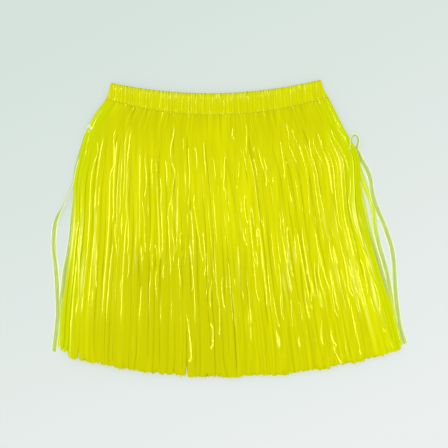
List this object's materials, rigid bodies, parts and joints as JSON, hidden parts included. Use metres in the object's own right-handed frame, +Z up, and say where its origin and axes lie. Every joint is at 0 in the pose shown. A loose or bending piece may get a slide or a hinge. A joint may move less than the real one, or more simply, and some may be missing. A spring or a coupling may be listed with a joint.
{
  "type": "plastic film grass skirt laid flat",
  "caption": "Short fringed skirt of cut plastic film on a gathered elastic waistband, lying flat with a few strips clear of its sides.",
  "frame": {"origin": "middle of the outline on the surface that the skirt lies on", "axes": "+X across the skirt to its right edge seen from above, +Y from the hem toward the waist, +Z up off the surface, out of the skirt's front"},
  "size_m": [0.5048, 0.4201, 0.009],
  "materials": {
    "film": "glossy fluorescent yellow film, slightly see-through",
    "loose_film": "the same film in a single thickness, paler and greener over a light surface",
    "elastic": "plain woven elastic, hidden in the casing"
  },
  "bodies": {
    "root": {"waistband_casing": "film", "waistband_elastic": "elastic", "film_front_outer": "film", "film_front_inner": "film", "film_back_inner": "film", "film_back_outer": "film", "loose_strip_left_outer": "loose_film", "loose_strip_left_inner": "loose_film", "loose_strip_right_curled": "loose_film", "loose_strip_right_middle": "loose_film", "loose_strip_right_inner": "loose_film"}
  },
  "joints": []
}
